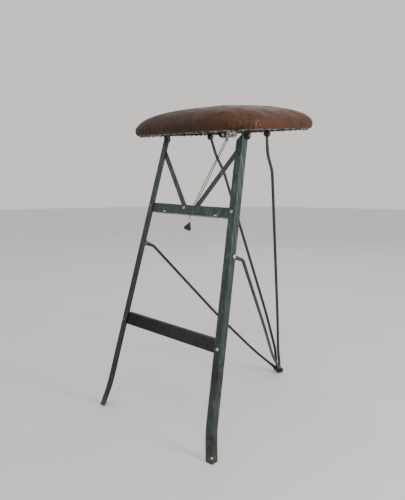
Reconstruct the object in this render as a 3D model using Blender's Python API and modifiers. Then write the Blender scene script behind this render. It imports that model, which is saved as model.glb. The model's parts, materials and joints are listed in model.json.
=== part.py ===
"""Folding three leg stool: two angle-steel front legs, a rear foot on four rods, a padded seat.

Units are metres, +Z is up, +X is the sitter's right and -Y is the front.
The origin is on the floor, in the middle of the stool's footprint.
"""

import math

import bmesh
import bpy
from mathutils import Matrix, Vector

# ---- driving dimensions ------------------------------------------------------------------

CLEARANCE = 0.0003            # gap between pieces that touch

# front frame, in its own plane: x across, s down the slope, b behind the front face
FRAME_TOP_Y = -0.08105        # datum line across the tops of the legs
FRAME_TOP_Z = 0.700
FRAME_LEAN = math.radians(14.0)
LEG_TOP_X = 0.130             # outer corner of a leg at the datum line
LEG_BEND_X, LEG_BEND_S = 0.187, 0.6627
LEG_FOOT_X, LEG_FOOT_S = 0.2023, 0.7219
LEG_BEND_REACH = 0.022        # length of the curve on each side of the bend
LEG_BEND_STEPS = 5
FOOT_HOLE_RISE, FOOT_HOLE_RADIUS = 0.0124, 0.0028
LEG_TOP_S = 0.008
ANGLE_WIDTH = 0.018
ANGLE_THICKNESS = 0.0025
ANGLE_CORNER = 0.0032

CROSSBAR_TOP_S, CROSSBAR_HEIGHT, CROSSBAR_DEPTH = 0.1840, 0.0225, 0.0250
CROSSBAR_HALF = 0.1413
NOTCH_X, NOTCH_WIDTH, NOTCH_RISE = 0.0865, 0.011, 0.0045
CORD_HOLE_B, CORD_HOLE_RADIUS = 0.0095, 0.0030
FOOTREST_TOP_S, FOOTREST_HEIGHT, FOOTREST_DEPTH = 0.4700, 0.0290, 0.0200
FOOTREST_HALF = 0.1650

BRACE_WIDTH, BRACE_THICKNESS = 0.012, 0.0025
BRACE_TOP_X, BRACE_TOP_S = 0.1240, 0.0520
BRACE_FOOT_X, BRACE_FOOT_S = 0.0173, 0.1910

RIVET_RADIUS, RIVET_HEAD_RADIUS, RIVET_HEAD_HEIGHT = 0.0021, 0.0040, 0.0018
TURNED_STEPS = 12             # sides of a rivet or screw
CROSSBAR_RIVET_X, CROSSBAR_RIVET_S = 0.1365, 0.1924
FOOTREST_RIVET_X, FOOTREST_RIVET_S = 0.1630, 0.4890

# pivots, all on axes along X
PIVOT_B = 0.0137              # front pivots and strut pivots, behind the front face
FRONT_PIVOT_S = 0.0200
STRUT_PIVOT_S = 0.28797
REAR_PIVOT_Y, REAR_PIVOT_Z = 0.04655, 0.6888
REAR_FOOT_Y, REAR_FOOT_Z = 0.24585, 0.0097

# rods
ROD_RADIUS = 0.0039
EYE_RADIUS, EYE_THICKNESS = 0.0070, 0.0038
EYE_HOLE_RADIUS = 0.0033
FLAT_LENGTH, TAPER_LENGTH = 0.010, 0.034
ROD_TOP_X, ROD_FOOT_X = 0.0925, 0.0056
STRUT_TOP_X, STRUT_FOOT_X = 0.1488, 0.0102
# bends, each as x, distance along the straight line from pivot to foot, and offset behind it
ROD_ELBOW, ROD_JOG_END = (0.0870, 0.050, 0.0), (0.0823, 0.098, 0.0130)
ROD_LOW_BEND, ROD_TOE = (0.0200, 0.530, 0.0126), (0.0056, 0.640, 0.0073)
STRUT_CRANK, STRUT_MID_BEND = (0.1530, 0.0289, 0.0145), (0.0835, 0.300, -0.0025)
STRUT_LOW_BEND = (0.0330, 0.460, -0.0077)
TIGHT_BEND, CURVED_BEND, LONG_BEND = 0.004, 0.012, 0.040     # reach of a bend on each side

# rear foot
SPACER_RADIUS, SPACER_HALF = 0.0097, 0.0033
BOLT_RADIUS = 0.0030
FOOT_HEAD_RADIUS, FOOT_HEAD_HEIGHT = 0.0058, 0.0028

# seat, in the frame of its underside: y back from the front pivots, z up from them
SEAT_SLOPE = math.radians(3.5)
SEAT_CENTRE_Y = 0.0645
SEAT_HALF_X, SEAT_HALF_Y = 0.196, 0.168
SEAT_SQUARENESS = 4.4
SEAT_FULLNESS = 2.5           # 2 is a plain ellipse from crown to edge
SEAT_RIM_Z, SEAT_EDGE_Z, SEAT_CROWN_Z = 0.0100, 0.0240, 0.0740
SEAT_UNDER_ROUND = 0.012      # how far the rolled rim turns in below the seat's widest line
BOARD_INSET, BOARD_UNDER_Z, BOARD_THICKNESS = 0.015, 0.0175, 0.009
COVER_INSET, COVER_THICKNESS = 0.024, 0.0008

# brackets
PLATE_THICKNESS = 0.0025
BRACKET_PLATE_X, BRACKET_PLATE_Y = 0.026, 0.034
EAR_RADIUS = 0.0085
FRONT_EAR_X, REAR_EAR_X = 0.1330, 0.0948
SCREW_HEAD_RADIUS, SCREW_HEAD_HEIGHT, SCREW_SHANK_RADIUS = 0.0036, 0.0019, 0.0016
SCREW_OFFSET_Y = 0.0105
PIVOT_BOLT_RADIUS, PIVOT_HEAD_RADIUS, PIVOT_HEAD_HEIGHT = 0.0029, 0.0052, 0.0028
NUT_RADIUS, NUT_HEIGHT = 0.0056, 0.0042

# latch and pull cord
HOUSING_RADIUS, HOUSING_WALL, HOUSING_LENGTH, HOUSING_Y = 0.0172, 0.0014, 0.042, 0.0845
HOUSING_FLANGE = 0.011
TONGUE_SIZE, TONGUE_SETBACK = (0.009, 0.050, 0.007), 0.006
TONGUE_Z = 0.0065
LUG_Y, LUG_DROP_Z, LUG_THICKNESS, LUG_WIDTH = 0.0790, -0.0085, 0.0028, 0.010
SLOT_WIDTH, SLOT_LENGTH = 0.0055, 0.022
BAIL_PIVOT_Y, BAIL_PIVOT_Z = 0.0790, -0.0052
BAIL_LENGTH, BAIL_HALF_WIDTH, BAIL_WIRE_RADIUS = 0.0560, 0.0034, 0.0010
BAIL_CORNERS = (0.0016, 0.0030)
CORD_RADIUS, CORD_POINT_SPACING = 0.0010, 0.0052
TAIL_LENGTH = 0.0055
RING_RADIUS, RING_WIRE_RADIUS, RING_POINTS = 0.0048, 0.0007, 20
KNOB_HEIGHT, KNOB_WIDTH, KNOB_THICKNESS = 0.0215, 0.0165, 0.0060

# ---- colours -----------------------------------------------------------------------------

PAINT = ("frame_paint", (0.058, 0.090, 0.095), 0.45, 0.3)
FOOTREST_PAINT = ("footrest_paint", (0.030, 0.031, 0.033), 0.55, 0.2)
ROD_PAINT = ("rod_paint", (0.045, 0.066, 0.068), 0.45, 0.3)
BRIGHT_STEEL = ("bright_steel", (0.55, 0.55, 0.54), 0.35, 1.0)
DARK_STEEL = ("dark_steel", (0.035, 0.036, 0.038), 0.55, 0.6)
LEATHER = ("leather", (0.090, 0.036, 0.018), 0.45, 0.0)
PLYWOOD = ("plywood", (0.46, 0.32, 0.18), 0.7, 0.0)
LINING = ("lining", (0.30, 0.28, 0.25), 0.9, 0.0)
STRING = ("string", (0.52, 0.45, 0.34), 0.85, 0.0)
BLACK_PLASTIC = ("black_plastic", (0.008, 0.008, 0.009), 0.3, 0.0)

SIDES = {"right": 1, "left": -1}


# ---- scene helpers -----------------------------------------------------------------------

def clear_scene():
    for obj in list(bpy.data.objects):
        bpy.data.objects.remove(obj, do_unlink=True)


def new_collection(name):
    collection = bpy.data.collections.new(name)
    bpy.context.scene.collection.children.link(collection)
    return collection


def get_material(spec):
    name, colour, roughness, metallic = spec
    material = bpy.data.materials.get(name)
    if material is None:
        material = bpy.data.materials.new(name)
        material.use_nodes = True
        shader = material.node_tree.nodes["Principled BSDF"]
        shader.inputs["Base Color"].default_value = (*colour, 1.0)
        shader.inputs["Roughness"].default_value = roughness
        shader.inputs["Metallic"].default_value = metallic
        material.diffuse_color = (*colour, 1.0)
    return material


def new_empty(name, location=(0, 0, 0), rotation_x=0.0, parent=None):
    empty = bpy.data.objects.new(name, None)
    empty.empty_display_size = 0.02
    parts.objects.link(empty)
    empty.parent = parent
    empty.location = location
    empty.rotation_euler = (rotation_x, 0.0, 0.0)
    return empty


def new_piece(name, bm, spec, parent, smooth=False):
    """Turn a bmesh, drawn in its parent's frame, into a named piece."""
    bmesh.ops.recalc_face_normals(bm, faces=bm.faces)
    mesh = bpy.data.meshes.new(name)
    bm.to_mesh(mesh)
    bm.free()
    obj = bpy.data.objects.new(name, mesh)
    parts.objects.link(obj)
    obj.parent = parent
    mesh.materials.append(get_material(spec))
    if smooth:
        mesh.shade_smooth()
        mesh.set_sharp_from_angle(angle=math.radians(35))
    return obj


def new_cutter(name, bm, parent):
    bmesh.ops.recalc_face_normals(bm, faces=bm.faces)
    mesh = bpy.data.meshes.new(name)
    bm.to_mesh(mesh)
    bm.free()
    obj = bpy.data.objects.new(name, mesh)
    cutters.objects.link(obj)
    obj.parent = parent
    obj.hide_render = True
    obj.display_type = "WIRE"
    return obj


def boolean(target, cutter, operation="DIFFERENCE"):
    modifier = target.modifiers.new(operation.lower(), "BOOLEAN")
    modifier.operation = operation
    modifier.solver = "EXACT"
    modifier.object = cutter


# ---- shape helpers -----------------------------------------------------------------------

def add_box(bm, low, high):
    low, high = Vector(low), Vector(high)
    size = high - low
    matrix = Matrix.Translation((low + high) / 2) @ Matrix.Diagonal((*size, 1.0))
    bmesh.ops.create_cube(bm, size=1.0, matrix=matrix)


def add_cylinder(bm, start, end, radius, segments=16):
    start, end = Vector(start), Vector(end)
    axis = end - start
    matrix = Matrix.Translation((start + end) / 2) @ axis.to_track_quat("Z", "Y").to_matrix().to_4x4()
    bmesh.ops.create_cone(bm, cap_ends=True, segments=segments, radius1=radius, radius2=radius,
                          depth=axis.length, matrix=matrix)


def box_bmesh(low, high):
    bm = bmesh.new()
    add_box(bm, low, high)
    return bm


def cylinder_bmesh(start, end, radius, segments=16):
    bm = bmesh.new()
    add_cylinder(bm, start, end, radius, segments)
    return bm


def bore(target, name, start, end, radius):
    """Cut a round hole; start and end are in the frame of the target's parent."""
    boolean(target, new_cutter(name, cylinder_bmesh(start, end, radius), target.parent))


def arc(centre, radius, start_deg, end_deg, steps):
    angles = [math.radians(start_deg + (end_deg - start_deg) * i / steps) for i in range(steps + 1)]
    return [(centre[0] + radius * math.cos(a), centre[1] + radius * math.sin(a)) for a in angles]


def swept_outline(outline, stations):
    """Extrude one face through stations; a station maps an outline point to space."""
    bm = bmesh.new()
    corners = [bm.verts.new(stations[0](*point)) for point in outline]
    face = bm.faces.new(corners)
    for number, station in enumerate(stations[1:]):
        extruded = bmesh.ops.extrude_face_region(bm, geom=[face])["geom"]
        if number > 0:
            bmesh.ops.delete(bm, geom=[face], context="FACES_ONLY")
        face = next(item for item in extruded if isinstance(item, bmesh.types.BMFace))
        copies = [item for item in extruded if isinstance(item, bmesh.types.BMVert)]
        # each copy still lies on the corner that it was made from
        corners = [min(copies, key=lambda copy: (copy.co - corner.co).length) for corner in corners]
        for corner, point in zip(corners, outline):
            corner.co = station(*point)
    return bm


def wire_curve(name, points, radius, closed=False):
    """A round wire along a POLY spline, closed into a loop or ended with flat caps."""
    curve = bpy.data.curves.new(name, "CURVE")
    curve.dimensions = "3D"
    curve.bevel_depth = radius
    curve.bevel_resolution = 2
    curve.use_fill_caps = not closed
    spline = curve.splines.new("POLY")
    spline.points.add(len(points) - 1)
    for spline_point, point in zip(spline.points, points):
        spline_point.co = (*point, 1.0)
    spline.use_cyclic_u = closed
    return curve


def new_wire(name, points, radius, spec, parent, closed=False):
    curve = wire_curve(name, points, radius, closed)
    curve.materials.append(get_material(spec))
    wire = bpy.data.objects.new(name, curve)
    parts.objects.link(wire)
    wire.parent = parent
    return wire


def new_turned(name, profile, spec, parent, smooth=False):
    """A turned piece: its profile, as radius and height, screwed round its own Z axis."""
    mesh = bpy.data.meshes.new(name)
    mesh.from_pydata([(r, 0.0, z) for r, z in profile], [(i, i + 1) for i in range(len(profile) - 1)], [])
    mesh.materials.append(get_material(spec))
    obj = bpy.data.objects.new(name, mesh)
    parts.objects.link(obj)
    obj.parent = parent
    screw = obj.modifiers.new("turn", "SCREW")
    screw.axis = "Z"
    screw.steps = screw.render_steps = TURNED_STEPS
    screw.use_merge_vertices = True
    screw.merge_threshold = 0.00001
    screw.use_smooth_shade = smooth
    return obj


def tube_through(points, radius):
    """A closed round tube, made a mesh with welded caps."""
    obj = bpy.data.objects.new("tube", wire_curve("tube", points, radius))
    bpy.context.scene.collection.objects.link(obj)
    evaluated = obj.evaluated_get(bpy.context.evaluated_depsgraph_get())
    mesh = bpy.data.meshes.new_from_object(evaluated)
    bm = bmesh.new()
    bm.from_mesh(mesh)
    bmesh.ops.remove_doubles(bm, verts=bm.verts, dist=1e-6)
    bpy.data.objects.remove(obj, do_unlink=True)
    bpy.data.meshes.remove(mesh)
    return bm


def rounded_path(corners, reaches, steps=5):
    """Straight runs joined by curves; each inner corner has the reach of its own curve."""
    points = [Vector(corners[0])]
    for before, corner, after, reach in zip(corners, corners[1:], corners[2:], reaches):
        before, corner, after = Vector(before), Vector(corner), Vector(after)
        start = corner + (before - corner).normalized() * reach
        end = corner + (after - corner).normalized() * reach
        for i in range(steps + 1):
            t = i / steps
            points.append(start * (1 - t) ** 2 + corner * 2 * t * (1 - t) + end * t ** 2)
    points.append(Vector(corners[-1]))
    return points


def with_points_near_ends(points, distances):
    """Add points to a path at the given distances, measured along it, from both its ends."""
    lengths = [0.0]
    for first, second in zip(points, points[1:]):
        lengths.append(lengths[-1] + (second - first).length)
    total = lengths[-1]
    wanted = list(distances) + [total - distance for distance in distances]
    wanted = [distance for distance in wanted if min(abs(distance - known) for known in lengths) > 0.0015]
    placed = list(zip(lengths, points))
    for distance in wanted:
        index = next(i for i in range(1, len(lengths)) if lengths[i] > distance)
        fraction = (distance - lengths[index - 1]) / (lengths[index] - lengths[index - 1])
        placed.append((distance, points[index - 1].lerp(points[index], fraction)))
    return [point for _, point in sorted(placed, key=lambda item: item[0])]


# ---- frame geometry ----------------------------------------------------------------------

def frame_point(x, s, b):
    """A point of the front frame, in its own leaning frame."""
    return Vector((x, b, -s))


def to_world(x, s, b):
    slope = Matrix.Rotation(-FRAME_LEAN, 4, "X")
    return Matrix.Translation((0, FRAME_TOP_Y, FRAME_TOP_Z)) @ slope @ frame_point(x, s, b)


def leg_corner_x(s):
    return LEG_TOP_X + (LEG_BEND_X - LEG_TOP_X) * s / LEG_BEND_S


FRONT_PIVOT = to_world(0, FRONT_PIVOT_S, PIVOT_B)
STRUT_PIVOT = to_world(0, STRUT_PIVOT_S, PIVOT_B)
REAR_PIVOT = Vector((0, REAR_PIVOT_Y, REAR_PIVOT_Z))
REAR_FOOT = Vector((0, REAR_FOOT_Y, REAR_FOOT_Z))


def angle_outline(width, thickness, corner):
    """An angle's section: u inward along the front flange, v back along the side flange."""
    inner = thickness + 0.0012
    return ([(width, 0.0), (width, thickness), (inner, thickness)]
            + [(thickness, inner), (thickness, width), (0.0, width)]
            + arc((corner, corner), corner, 180, 270, 4))


def make_leg(side_name, sign):
    upper = Vector((LEG_BEND_X - leg_corner_x(LEG_TOP_S), -(LEG_BEND_S - LEG_TOP_S))).normalized()
    lower = Vector((LEG_FOOT_X - LEG_BEND_X, -(LEG_FOOT_S - LEG_BEND_S))).normalized()
    overrun = 0.012
    bend = Vector((LEG_BEND_X, -LEG_BEND_S))
    ends = [(Vector((leg_corner_x(LEG_TOP_S), -LEG_TOP_S)), upper)]
    for i in range(LEG_BEND_STEPS + 1):
        t = i / LEG_BEND_STEPS
        along = -(1 - t) ** 2 * upper + t ** 2 * lower
        ends.append((bend + along * LEG_BEND_REACH, (upper * (1 - t) + lower * t).normalized()))
    ends.append((Vector((LEG_FOOT_X, -LEG_FOOT_S)) + lower * overrun, lower))

    def station(corner, direction):
        inward = Vector((direction.y, -direction.x))
        return lambda u, v: Vector((sign * (corner.x + inward.x * u), v, corner.y + inward.y * u))

    outline = angle_outline(ANGLE_WIDTH, ANGLE_THICKNESS, ANGLE_CORNER)
    leg = new_piece(f"leg_{side_name}", swept_outline(outline, [station(*end) for end in ends]),
                    PAINT, front_frame, smooth=True)

    # the foot is cut level with the floor
    floor_box = box_bmesh((sign * LEG_FOOT_X - 0.05, -0.35, -0.05), (sign * LEG_FOOT_X + 0.05, -0.15, 0.0))
    boolean(leg, new_cutter(f"floor_cut_{side_name}", floor_box, None))

    # the front flange is cut away on a slope at the top
    top_x = leg_corner_x(0.0)
    wedge = [(top_x + 0.004, -0.004), (top_x + 0.004, 0.0135), (top_x - ANGLE_WIDTH - 0.003, 0.0390),
             (top_x - ANGLE_WIDTH - 0.003, -0.004)]
    wedge_cut = swept_outline(wedge, [lambda x, s: frame_point(sign * x, s, -0.002),
                                      lambda x, s: frame_point(sign * x, s, 0.0045)])
    boolean(leg, new_cutter(f"top_cut_{side_name}", wedge_cut, front_frame))

    for label, s in (("pivot", FRONT_PIVOT_S), ("strut", STRUT_PIVOT_S)):
        x = sign * leg_corner_x(s)
        bore(leg, f"{label}_hole_{side_name}", frame_point(x - sign * 0.008, s, PIVOT_B),
             frame_point(x + sign * 0.006, s, PIVOT_B), PIVOT_BOLT_RADIUS + 0.0007)
    for label, x, s in (("brace", BRACE_TOP_X, BRACE_TOP_S),
                        ("crossbar", CROSSBAR_RIVET_X, CROSSBAR_RIVET_S),
                        ("footrest", FOOTREST_RIVET_X, FOOTREST_RIVET_S)):
        bore(leg, f"{label}_rivet_hole_{side_name}", frame_point(sign * x, s, -0.002),
             frame_point(sign * x, s, 0.006), RIVET_RADIUS + CLEARANCE)

    # a hole through the corner of the angle, just above the floor
    s = LEG_FOOT_S - FOOT_HOLE_RISE
    x = LEG_FOOT_X - FOOT_HOLE_RISE * (LEG_FOOT_X - LEG_BEND_X) / (LEG_FOOT_S - LEG_BEND_S)
    bore(leg, f"foot_hole_{side_name}", frame_point(sign * (x + 0.004), s, -0.004),
         frame_point(sign * (x - 0.008), s, 0.008), FOOT_HOLE_RADIUS)
    return leg


def make_bar(name, half, top_s, height, depth, flange_at_top, spec):
    """A cross angle behind the legs' front flanges, its second flange pointing back."""
    front = ANGLE_THICKNESS + CLEARANCE
    corner = 0.0025
    sign = -1 if flange_at_top else 1
    edge = top_s if flange_at_top else top_s + height
    outline = [(front + v, edge - sign * u) for u, v in angle_outline(height, ANGLE_THICKNESS, corner)]
    # stretch the second flange to its own depth
    outline = [(front + depth if b > front + height - 1e-6 else b, s) for b, s in outline]
    bm = swept_outline(outline, [lambda b, s: frame_point(-half, s, b), lambda b, s: frame_point(half, s, b)])
    return new_piece(name, bm, spec, front_frame, smooth=True)


def make_crossbar():
    bar = make_bar("upper_crossbar", CROSSBAR_HALF, CROSSBAR_TOP_S, CROSSBAR_HEIGHT, CROSSBAR_DEPTH,
                   False, PAINT)
    low_s = CROSSBAR_TOP_S + CROSSBAR_HEIGHT
    rear = ANGLE_THICKNESS + CLEARANCE + CROSSBAR_DEPTH
    for name, sign in SIDES.items():
        near, far = sign * NOTCH_X - NOTCH_WIDTH / 2, sign * NOTCH_X + NOTCH_WIDTH / 2
        notch = box_bmesh((near, -0.002, -low_s - 0.004), (far, rear + 0.004, -low_s + NOTCH_RISE))
        boolean(bar, new_cutter(f"rod_notch_{name}", notch, front_frame))
        for label, x, s in (("end", CROSSBAR_RIVET_X, CROSSBAR_RIVET_S),
                            ("brace", BRACE_FOOT_X, BRACE_FOOT_S)):
            bore(bar, f"crossbar_{label}_hole_{name}", frame_point(sign * x, s, 0.0),
                 frame_point(sign * x, s, 0.010), RIVET_RADIUS + CLEARANCE)
    bore(bar, "cord_hole", frame_point(0, low_s + 0.003, CORD_HOLE_B),
         frame_point(0, low_s - 0.006, CORD_HOLE_B), CORD_HOLE_RADIUS)
    return bar


def make_footrest():
    bar = make_bar("footrest", FOOTREST_HALF, FOOTREST_TOP_S, FOOTREST_HEIGHT, FOOTREST_DEPTH,
                   True, FOOTREST_PAINT)
    for name, sign in SIDES.items():
        x = sign * FOOTREST_RIVET_X
        bore(bar, f"footrest_hole_{name}", frame_point(x, FOOTREST_RIVET_S, 0.0),
             frame_point(x, FOOTREST_RIVET_S, 0.010), RIVET_RADIUS + CLEARANCE)
    return bar


def make_brace(side_name, sign):
    """A flat bar from behind a leg's top to behind the crossbar's middle."""
    top_b = ANGLE_THICKNESS + 0.0005
    foot_b = 2 * ANGLE_THICKNESS + 2 * CLEARANCE + 0.0004
    run = Vector((BRACE_TOP_X - BRACE_FOOT_X, BRACE_TOP_S - BRACE_FOOT_S))
    length = run.length
    along = run / length
    across = Vector((-along.y, along.x))
    half = BRACE_WIDTH / 2
    outline = ([(0.0, -half), (length, -half)] + arc((length, 0.0), half, -90, 90, 6)[1:-1]
               + [(length, half), (0.0, half)] + arc((0.0, 0.0), half, 90, 270, 6)[1:-1])

    def layer(depth):
        def place(along_bar, over_bar):
            x = BRACE_FOOT_X + along.x * along_bar + across.x * over_bar
            s = BRACE_FOOT_S + along.y * along_bar + across.y * over_bar
            b = foot_b + (top_b - foot_b) * along_bar / length + depth
            return frame_point(sign * x, s, b)
        return place

    brace = new_piece(f"brace_{side_name}", swept_outline(outline, [layer(0.0), layer(BRACE_THICKNESS)]),
                      PAINT, front_frame)
    for label, x, s in (("top", BRACE_TOP_X, BRACE_TOP_S), ("foot", BRACE_FOOT_X, BRACE_FOOT_S)):
        bore(brace, f"brace_{label}_hole_{side_name}", frame_point(sign * x, s, 0.0),
             frame_point(sign * x, s, 0.012), RIVET_RADIUS + CLEARANCE)
    return brace


def make_rivet(name, start, end, parent, radius=RIVET_RADIUS, head_radius=RIVET_HEAD_RADIUS):
    """A turned rivet: domed head beyond start, flatter formed head beyond end."""
    start, end = Vector(start), Vector(end)
    grip = (end - start).length
    dome = [(head_radius * math.cos(a), grip + RIVET_HEAD_HEIGHT * math.sin(a))
            for a in (math.radians(90 - 22.5 * i) for i in range(5))]
    dome[0] = (0.0, dome[0][1])
    tail = 0.75 * RIVET_HEAD_HEIGHT
    profile = (dome + [(radius, grip), (radius, 0.0), (0.9 * head_radius, 0.0)]
               + [(0.7 * head_radius, -tail), (0.0, -tail)])
    rivet = new_turned(name, profile, BRIGHT_STEEL, parent, smooth=True)
    rivet.location = end
    rivet.rotation_mode = "QUATERNION"
    rivet.rotation_quaternion = (start - end).to_track_quat("Z", "Y")


def make_front_rivets():
    front = -CLEARANCE
    for name, sign in SIDES.items():
        leg_grip = 2 * ANGLE_THICKNESS + 2 * CLEARANCE
        for label, x, s, first, last in (
                ("brace_top", BRACE_TOP_X, BRACE_TOP_S, front, ANGLE_THICKNESS + BRACE_THICKNESS + 0.0010),
                ("crossbar", CROSSBAR_RIVET_X, CROSSBAR_RIVET_S, front, leg_grip),
                ("footrest", FOOTREST_RIVET_X, FOOTREST_RIVET_S, front, leg_grip),
                ("brace_foot", BRACE_FOOT_X, BRACE_FOOT_S, ANGLE_THICKNESS, 0.0090)):
            make_rivet(f"rivet_{label}_{name}", frame_point(sign * x, s, first),
                       frame_point(sign * x, s, last), front_frame)
        outer = leg_corner_x(STRUT_PIVOT_S) + 0.0008
        inner = STRUT_TOP_X - EYE_THICKNESS / 2 - CLEARANCE
        make_rivet(f"rivet_strut_{name}", frame_point(sign * outer, STRUT_PIVOT_S, PIVOT_B),
                   frame_point(sign * inner, STRUT_PIVOT_S, PIVOT_B), front_frame,
                   radius=PIVOT_BOLT_RADIUS, head_radius=0.0050)


# ---- rods --------------------------------------------------------------------------------

def make_rod(name, sign, corners, bend_reaches, parent, spec):
    """A round rod with a flattened eye at each end; corners run from eye to eye."""
    taper_steps = 4
    taper = [FLAT_LENGTH + (TAPER_LENGTH - FLAT_LENGTH) * i / taper_steps for i in range(taper_steps + 1)]
    path = with_points_near_ends(rounded_path(corners, bend_reaches), taper)
    bm = tube_through(path, ROD_RADIUS)
    thin = (EYE_THICKNESS / 2 - 0.0002) / ROD_RADIUS
    for vert in bm.verts:
        centre = nearest_on_path(path, vert.co)
        reach = min((centre - path[0]).length, (centre - path[-1]).length)
        roundness = min(max((reach - FLAT_LENGTH) / (TAPER_LENGTH - FLAT_LENGTH), 0.0), 1.0)
        widen = 1.3 - 0.3 * roundness
        offset = vert.co - centre
        offset = Vector((offset.x * (thin + (1.0 - thin) * roundness), offset.y * widen, offset.z * widen))
        vert.co = centre + offset
    for point in bm.verts:
        point.co.x *= sign
    rod = new_piece(name, bm, spec, parent, smooth=True)
    for label, eye in (("top", corners[0]), ("foot", corners[-1])):
        centre = Vector((sign * eye[0], eye[1], eye[2]))
        half = Vector((EYE_THICKNESS / 2, 0, 0))
        disc = cylinder_bmesh(centre - half, centre + half, EYE_RADIUS, 20)
        boolean(rod, new_cutter(f"{name}_{label}_disc", disc, parent), "UNION")
    for label, eye in (("top", corners[0]), ("foot", corners[-1])):
        centre = Vector((sign * eye[0], eye[1], eye[2]))
        bore(rod, f"{name}_{label}_hole", centre - Vector((0.006, 0, 0)), centre + Vector((0.006, 0, 0)),
             EYE_HOLE_RADIUS)
    return rod


def nearest_on_path(path, point):
    best = None
    for first, second in zip(path, path[1:]):
        run = second - first
        t = min(max((point - first).dot(run) / run.length_squared, 0.0), 1.0)
        candidate = first + run * t
        if best is None or (point - candidate).length < (point - best).length:
            best = candidate
    return best


def bend_points(run, bends):
    """Bends as points, in the frame of the pivot that the straight line run starts from."""
    along = run.normalized()
    behind = Vector((0, -along.z, along.y))
    return [Vector((x, 0, 0)) + along * distance + behind * offset for x, distance, offset in bends]


def make_rear_rods():
    """Rods from the seat's rear brackets to the rear foot, in the rear pivot's frame."""
    run = REAR_FOOT - REAR_PIVOT
    flat_end = run.normalized() * FLAT_LENGTH
    top, foot = Vector((ROD_TOP_X, 0, 0)), Vector((ROD_FOOT_X, 0, 0)) + run
    bends = bend_points(run, (ROD_ELBOW, ROD_JOG_END, ROD_LOW_BEND, ROD_TOE))
    reaches = (TIGHT_BEND, CURVED_BEND, CURVED_BEND, LONG_BEND, CURVED_BEND)
    for name, sign in SIDES.items():
        make_rod(f"rear_rod_{name}", sign, [top, top + flat_end] + bends + [foot], reaches, rear_hinge,
                 ROD_PAINT)


def make_struts():
    """Struts from the legs to the rear foot, in the strut pivot's frame."""
    run = REAR_FOOT - STRUT_PIVOT
    top, foot = Vector((STRUT_TOP_X, 0, 0)), Vector((STRUT_FOOT_X, 0, 0)) + run
    bends = bend_points(run, (STRUT_CRANK, STRUT_MID_BEND, STRUT_LOW_BEND))
    crank = Vector((0, *bends[0].yz)).normalized() * FLAT_LENGTH
    toe = foot - (foot - bends[-1]).normalized() * FLAT_LENGTH * 1.2
    toe.x = STRUT_FOOT_X
    reaches = (TIGHT_BEND, CURVED_BEND / 2, LONG_BEND, LONG_BEND, TIGHT_BEND)
    for name, sign in SIDES.items():
        make_rod(f"strut_{name}", sign, [top, top + crank] + bends + [toe, foot], reaches, strut_hinge,
                 ROD_PAINT)


def make_rear_foot():
    """The foot bolt runs through the rods' eyes; its two ends stay with the struts' eyes."""
    foot = REAR_FOOT - REAR_PIVOT
    spacer = new_piece("foot_spacer", cylinder_bmesh(foot - Vector((SPACER_HALF, 0, 0)),
                                                    foot + Vector((SPACER_HALF, 0, 0)), SPACER_RADIUS, 28),
                       DARK_STEEL, rear_hinge, smooth=True)
    bore(spacer, "spacer_hole", foot - Vector((0.01, 0, 0)), foot + Vector((0.01, 0, 0)),
         BOLT_RADIUS + CLEARANCE)
    reach = ROD_FOOT_X + EYE_THICKNESS / 2
    new_piece("foot_bolt", cylinder_bmesh(foot - Vector((reach, 0, 0)), foot + Vector((reach, 0, 0)),
                                          BOLT_RADIUS, 16), DARK_STEEL, rear_hinge, smooth=True)
    end = REAR_FOOT - STRUT_PIVOT
    inner = STRUT_FOOT_X - EYE_THICKNESS / 2
    outer = STRUT_FOOT_X + EYE_THICKNESS / 2 + CLEARANCE
    for name, sign in SIDES.items():
        bm = bmesh.new()
        profile = [(inner, BOLT_RADIUS), (outer, BOLT_RADIUS), (outer, FOOT_HEAD_RADIUS),
                   (outer + 0.6 * FOOT_HEAD_HEIGHT, FOOT_HEAD_RADIUS),
                   (outer + FOOT_HEAD_HEIGHT, 0.75 * FOOT_HEAD_RADIUS)]
        points = [Vector((sign * x, end.y + radius, end.z)) for x, radius in profile]
        points = [Vector((sign * inner, end.y, end.z))] + points
        points.append(Vector((sign * (outer + FOOT_HEAD_HEIGHT), end.y, end.z)))
        verts = [bm.verts.new(point) for point in points]
        edges = [bm.edges.new(pair) for pair in zip(verts, verts[1:])]
        bmesh.ops.spin(bm, geom=verts + edges, cent=end, axis=(1, 0, 0), angle=2 * math.pi, steps=18,
                       use_merge=True)
        bmesh.ops.remove_doubles(bm, verts=bm.verts, dist=1e-6)
        new_piece(f"foot_bolt_end_{name}", bm, DARK_STEEL, strut_hinge, smooth=True)


# ---- seat --------------------------------------------------------------------------------

def seat_outline(inset, steps):
    """Points of the seat's plan: a squarish oval, pulled in by inset."""
    half_x, half_y = SEAT_HALF_X - inset, SEAT_HALF_Y - inset
    points = []
    for i in range(steps):
        angle = 2 * math.pi * i / steps
        c, s = math.cos(angle), math.sin(angle)
        x = math.copysign(abs(c) ** (2 / SEAT_SQUARENESS), c) * half_x
        y = math.copysign(abs(s) ** (2 / SEAT_SQUARENESS), s) * half_y
        points.append((x, SEAT_CENTRE_Y + y))
    return points


def seat_slab(inset, low, high, steps=48):
    outline = seat_outline(inset, steps)
    return swept_outline(outline, [lambda x, y: Vector((x, y, low)), lambda x, y: Vector((x, y, high))])


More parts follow.
